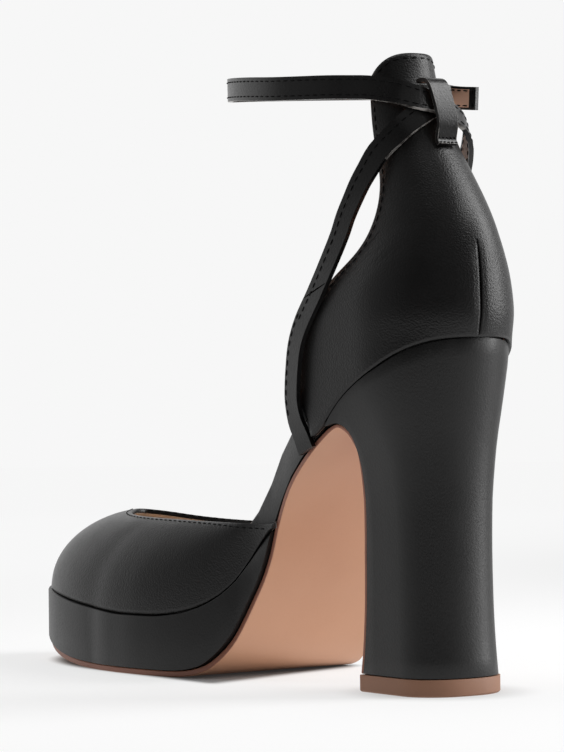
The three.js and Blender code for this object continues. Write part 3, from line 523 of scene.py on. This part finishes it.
def seamShadeLeaf(name, leather, start, end, width):
    # painted shade in a closed slit of the leather: a thin dark leaf laid on its face between two points,
    # standing in for the shade in the slit
    surface = surfaceOf(leather)
    start, end = Vector(start) / 1000, Vector(end) / 1000
    along = end - start
    bm = bmesh.new()
    rows = []
    for i in range(25):
        t = i / 24
        half = mm(width) * math.sin(math.pi * (0.06 + t * 0.88)) ** 0.5 / 2
        spot, normal, index, far = surface.find_nearest(start + along * t)
        side = normal.cross(along).normalized() * half
        row = []
        for share, lift in ((-1, 0.03), (0, 0.06), (1, 0.03)):
            at, facing, index, far = surface.find_nearest(spot + side * share)
            row.append(bm.verts.new(at + facing * mm(lift)))
        rows.append(row)
    for lower, upper in zip(rows, rows[1:]):
        for k in range(2):
            bm.faces.new((lower[k], lower[k + 1], upper[k + 1], upper[k]))
    piece = pieceFrom(bm, name, [seamShadeMaterial], 180)
    finishPiece(piece, "upper_leather")


seamShadeLeaf("dart_seam_shade", quarter, (-24, 1.4, 109.6), (-24, 1.4, 139.5), 0.75)
seamShadeLeaf("strap_lap_seam_shade", buckleStrap, (30.4, 29, 122.3), (19.6, 28.6, 126.5), 0.45)


def shadeBead(name, rim, keep, thickness):
    # painted shade: a dark leather bead laid along the wall's front edge where it runs in under the strap,
    # filling the gap there with dark in place of the shade
    holder = curveThrough(name, [[p for p in rim if keep(p)]])
    holder.data.bevel_depth = mm(thickness) / 2
    holder.data.bevel_resolution = 2
    holder.data.use_fill_caps = True
    pieceFromHolder(holder, name, strapMaterial, "upper_leather")


shadeBead(
    "quarter_edge_shade_bead",
    quarterRim,
    lambda p: mm(83.5) < p.z < mm(95) and p.y > 0 and p.x > mm(25),
    1.1,
)

heel = solidPiece("heel", "heel_cover", heelMaterial, bevel=0.55)
finishPiece(heel, "cover_leather", "heel")
platform = solidPiece("platform", "platform_cover", coverMaterial)
finishPiece(platform, "cover_leather", "platform")
board = solidPiece("insole_board", "insole_cover", coverMaterial)
finishPiece(board, "cover_leather", "insole_board")
sock = solidPiece("sock_lining", "sock", sockMaterial, bevel=0.3)
finishPiece(sock, "lining_tan", "sock_lining")
tip = solidPiece("heel_tip", "heel_top_piece", tipMaterial, bevel=0.25)
finishPiece(tip, "heel_tip_rubber", "heel_tip")


def soleSheet():
    # tan face, darker trimmed edges
    bm = welded("outsole", True)
    groups = sides(bm, 45)
    for group in groups[2:]:
        for face in group:
            face.material_index = 1
    piece = pieceFrom(bm, "outsole_sheet", [soleMaterial, edgeMaterial], 45)
    refine(piece, bevel=0.3)
    return piece


sole = soleSheet()
finishPiece(sole, "sole_tan", "outsole")


def wirePiece(node, name):
    bm = welded(node, True)
    piece = pieceFrom(bm, name, [metalMaterial], 60)
    refine(piece, levels=1)
    return piece


finishPiece(wirePiece("buckle_frame", "buckle_wire"), "buckle_metal", "buckle_frame")
finishPiece(wirePiece("buckle_prong", "prong_wire"), "buckle_metal", "buckle_prong")
print("sole, heel and buckle made")


# ---- stitches ----
stitchLook = {"length": 2.1, "pitch": 2.9, "thread": 0.48, "inset": 1.3}  # mm
keeperStitchLook = {"length": 1.2, "pitch": 1.5, "thread": 0.5}


def stitchTree():
    tree = bpy.data.node_groups.new("row of stitches", "GeometryNodeTree")
    face = tree.interface
    face.new_socket("Geometry", in_out="INPUT", socket_type="NodeSocketGeometry")
    for label in ("Stitch length", "Pitch", "Thread"):
        face.new_socket(label, in_out="INPUT", socket_type="NodeSocketFloat")
    face.new_socket("Finish", in_out="INPUT", socket_type="NodeSocketMaterial")
    face.new_socket("Geometry", in_out="OUTPUT", socket_type="NodeSocketGeometry")
    make = tree.nodes.new
    link = tree.links.new
    source = make("NodeGroupInput")
    result = make("NodeGroupOutput")
    spaced = make("GeometryNodeCurveToPoints")
    spaced.mode = "LENGTH"
    link(source.outputs["Geometry"], spaced.inputs["Curve"])
    link(source.outputs["Pitch"], spaced.inputs["Length"])
    turned = make("FunctionNodeAlignRotationToVector")
    turned.axis = "X"
    link(spaced.outputs["Tangent"], turned.inputs["Vector"])
    bead = make("GeometryNodeMeshUVSphere")
    bead.inputs["Segments"].default_value = 8
    bead.inputs["Rings"].default_value = 5
    bead.inputs["Radius"].default_value = 0.5
    shape = make("ShaderNodeCombineXYZ")
    link(source.outputs["Stitch length"], shape.inputs[0])
    link(source.outputs["Thread"], shape.inputs[1])
    link(source.outputs["Thread"], shape.inputs[2])
    placed = make("GeometryNodeInstanceOnPoints")
    link(spaced.outputs["Points"], placed.inputs["Points"])
    link(bead.outputs["Mesh"], placed.inputs["Instance"])
    link(turned.outputs[0], placed.inputs["Rotation"])
    link(shape.outputs[0], placed.inputs["Scale"])
    real = make("GeometryNodeRealizeInstances")
    link(placed.outputs[0], real.inputs[0])
    smooth = make("GeometryNodeSetShadeSmooth")
    link(real.outputs[0], smooth.inputs["Geometry"])
    dressed = make("GeometryNodeSetMaterial")
    link(smooth.outputs[0], dressed.inputs["Geometry"])
    link(source.outputs["Finish"], dressed.inputs["Material"])
    link(dressed.outputs[0], result.inputs[0])
    return tree


stitches = stitchTree()


def stitchRows(name, lines, look, slotName):
    # one row of stitches along each line of points
    holder = curveThrough(name, lines)
    mod = holder.modifiers.new("stitches", "NODES")
    mod.node_group = stitches
    wanted = {
        "Stitch length": mm(look["length"]),
        "Pitch": mm(look["pitch"]),
        "Thread": mm(look["thread"]),
        "Finish": threadMaterial,
    }
    for item in stitches.interface.items_tree:
        if item.in_out == "INPUT" and item.name in wanted:
            mod[item.identifier] = wanted[item.name]
    pieceFromHolder(holder, name, threadMaterial, slotName)


def evenly(points, step):
    # a polyline with a point every step
    out = [points[0].copy()]
    rest = step
    for a, b in zip(points, points[1:]):
        gap = (b - a).length
        while gap >= rest:
            a = a.lerp(b, rest / gap)
            gap = (b - a).length
            out.append(a.copy())
            rest = step
        rest -= gap
    return out


def walkInset(piece, node, inset, keep, side=0):
    # follows the rim of the outer face (0) or the inner (1), and steps in square to it
    bm = welded(node, True)
    faces = sides(bm, 45)[side]
    sums = {}
    for face in faces:
        for vert in face.verts:
            sums[vert] = sums.get(vert, Vector()) + face.normal
    spots = np.array([tuple(vert.co) for vert in sums])
    normals = [total.normalized() for total in sums.values()]
    rim = outline(faces)[0]
    bm.free()
    surface = surfaceOf(piece)
    ring = evenly(rim + [rim[0]], mm(0.8))
    count = len(ring)
    lines = [[]]
    for i, here in enumerate(ring):
        before = ring[(i - 2) % count]
        after = ring[(i + 2) % count]
        along = after - before
        turn = (after - here).angle(here - before, 0) if along.length else 1
        near = int(np.argmin(((spots - np.array(here)) ** 2).sum(axis=1)))
        normal = normals[near]
        if not keep(here) or turn > 0.5 or along.length < mm(1):
            if lines[-1]:
                lines.append([])
            continue
        # faces run anticlockwise, so inside is on the left
        inward = normal.cross(along).normalized()
        at, facing, index, off = surface.find_nearest(here + inward * mm(inset) + normal * mm(0.3))
        lines[-1].append(at + normal * mm(0.03))
    return [line for line in lines if len(line) > 4]


inset = stitchLook["inset"]
strapRows = walkInset(ankleStrap, "ankle_strap", inset, lambda p: p.z > mm(86))
strapRows += walkInset(ankleStrap, "ankle_strap", inset, lambda p: p.y < mm(-9) and p.z > mm(140), 1)


def innerStrapRow(inset, rear):
    # the inner strap is folded at its rear edge, so that row stands further in
    rows = walkInset(buckleStrap, "buckle_strap", inset, lambda p: p.y > mm(1) and p.z > mm(86))
    rows.sort(key=lambda line: sum(p.x for p in line) / len(line))
    return rows[0] if rear else rows[-1]


buckleRows = [innerStrapRow(0.9, False), innerStrapRow(2.2, True)]
buckleRows += walkInset(buckleStrap, "buckle_strap", inset, lambda p: p.y < 0)


def keeperRow(z):
    # a level row across the keeper's lower end
    surface = surfaceOf(keeper)
    row = []
    for i in range(13):
        spot, normal, index, far = surface.ray_cast(Vector((mm(-40), mm(-3 + i / 2), mm(z))), Vector((1, 0, 0)))
        row.append(spot + normal * mm(0.05))
    return row


keeperRows = [keeperRow(169.2), keeperRow(170.6)]
stitchRows("ankle_strap_stitches", strapRows, stitchLook, "upper_leather")
stitchRows("buckle_strap_stitches", buckleRows, stitchLook, "upper_leather")
stitchRows("keeper_stitches", keeperRows, keeperStitchLook, "upper_leather")
quarterRows = walkInset(quarter, "quarter", 1.5, lambda p: p.z > mm(118))
vampRows = walkInset(vamp, "vamp", 1.5, lambda p: p.z > mm(45) and p.x > mm(60))
stitchRows("quarter_stitches", quarterRows, stitchLook, "upper_leather")
stitchRows("vamp_stitches", vampRows, stitchLook, "upper_leather")
print("stitches sewn")


# ---- studio ----
studio = {
    "paper": tone(150, 150, 150),  # round the shoe
    "nearGlow": 0.675,
    "glow": 0.925,
    "sideGlow": 0.32,  # left and right of the shoe
    "frontGlow": 0.05,  # behind the photographer
    "bowl": 2.6,  # m, flat part of the sweep
    "world": 0.08,
}


def paperFinish():
    # backlit paper, bright behind the shoe and dimmer towards the photographer
    s = Shader("studio paper")
    x, y, z = s.axes(s.place())
    reach = (x * x + y * y) ** 0.5
    behind = (x * 0.951 - y * 0.309) / (reach + 0.2)  # a little to the left of the camera's line
    far = reach.ramp(0.2, 0.8)
    glow = studio["nearGlow"] + far * (studio["glow"] - studio["nearGlow"])
    back = behind.ramp(0.25, 0.8)
    front = 1 - behind.ramp(-0.6, 0.0)
    level = 1 - (1 - back) * (1 - studio["sideGlow"]) - front * (studio["sideGlow"] - studio["frontGlow"])
    # painted contact shadow: no glow where the sole and the heel tip press on the paper
    toeX, toeY = (x - mm(138)).maths("MAXIMUM", 0.0) / mm(60), y / mm(38)
    sole = (x + y * 0.27).ramp(mm(74), mm(84)) * (1 - (toeX * toeX + toeY * toeY).ramp(0.8, 1.15))
    heelTip = 1 - reach.ramp(mm(14), mm(34))
    contactShadow = sole * 0.97 + heelTip * 0.35
    level = level * far + (1 - far) * (1 - contactShadow)
    shade = s.add("ShaderNodeCombineColor", None, [glow * level] * 3)
    return s.look(
        Base_Color=s.blend(far, studio["paper"], tone(30, 30, 30)),
        Roughness=0.9,
        Specular_IOR_Level=0.0,
        Emission_Color=shade,
        Emission_Strength=1.0,
    )


def sweep():
    # a pale floor that turns up into its own backdrop all round
    profile = [(studio["bowl"], 0.0)]
    for i in range(1, 13):
        angle = math.radians(90 * i / 12)
        profile.append((studio["bowl"] + 1.4 * math.sin(angle), 1.4 * (1 - math.cos(angle))))
    profile.append((profile[-1][0], 3.2))
    bm = bmesh.new()
    turns = 96
    rings = []
    for radius, height in profile:
        ring = []
        for k in range(turns):
            angle = 2 * math.pi * k / turns
            ring.append(bm.verts.new((radius * math.cos(angle), radius * math.sin(angle), height)))
        rings.append(ring)
    middle = bm.verts.new((0, 0, 0))
    for k in range(turns):
        after = (k + 1) % turns
        bm.faces.new((middle, rings[0][k], rings[0][after]))
        for low, high in zip(rings, rings[1:]):
            bm.faces.new((low[k], low[after], high[after], high[k]))
    floor = pieceFrom(bm, "studio_floor", [paperFinish()], 180)


def panel(name, place, target, width, height, power, colour=(1, 1, 1)):
    light = bpy.data.lights.new(name, "AREA")
    light.shape = "RECTANGLE"
    light.size = width
    light.size_y = height
    light.energy = power
    light.color = colour
    lamp = bpy.data.objects.new(name, light)
    lamp.location = place
    lamp.rotation_euler = (Vector(target) - Vector(place)).to_track_quat("-Z", "Y").to_euler()
    bpy.context.scene.collection.objects.link(lamp)


def lights():
    world = bpy.data.worlds.new("studio air")
    bpy.context.scene.world = world
    world.use_nodes = True
    air = world.node_tree.nodes["Background"]
    air.inputs[0].default_value = (1, 1, 1, 1)
    air.inputs[1].default_value = studio["world"]
    right = Vector((-0.588, -0.809, 0))
    away = Vector((0.809, -0.588, 0))
    up = Vector((0, 0, 1))
    aim = Vector((0.07, 0, 0.09))

    def spot(r, d, h):
        return aim + right * r + away * d + up * h

    panel("right softbox", spot(1.15, 0.15, 0.6), aim, 0.6, 1.6, 20)
    panel("upper softbox", spot(0.75, -0.45, 0.95), aim + up * 0.06, 0.3, 0.3, 2.2)
    panel("top softbox", spot(-0.2, 0.2, 1.5), aim, 1.2, 1.0, 8)
    panel("front fill", spot(0.1, -1.3, 1.1), aim, 1.2, 1.0, 0.9)


def camera():
    # the photograph's long lens, level with the heel seat and turned a touch clockwise
    lens = bpy.data.cameras.new("camera")
    lens.lens = 155.1
    lens.sensor_width = 36
    lens.clip_start = 0.05
    lens.clip_end = 50
    eye = bpy.data.objects.new("camera", lens)
    heading = math.radians(36)
    away = Vector((math.cos(heading), -math.sin(heading), 0))
    right = Vector((-math.sin(heading), -math.cos(heading), 0))
    up = Vector((0, 0, 1))
    roll = math.radians(0.6)
    tiltedRight = right * math.cos(roll) - up * math.sin(roll)
    tiltedUp = up * math.cos(roll) + right * math.sin(roll)
    spot = right * -mm(47.53) - away * 1.0 + up * mm(98)
    eye.matrix_world = Matrix((
        (tiltedRight.x, tiltedUp.x, -away.x, spot.x),
        (tiltedRight.y, tiltedUp.y, -away.y, spot.y),
        (tiltedRight.z, tiltedUp.z, -away.z, spot.z),
        (0, 0, 0, 1),
    ))
    bpy.context.scene.collection.objects.link(eye)
    bpy.context.scene.camera = eye


sweep()
lights()
camera()
bpy.context.scene.view_settings.view_transform = "Standard"
print("studio lit")
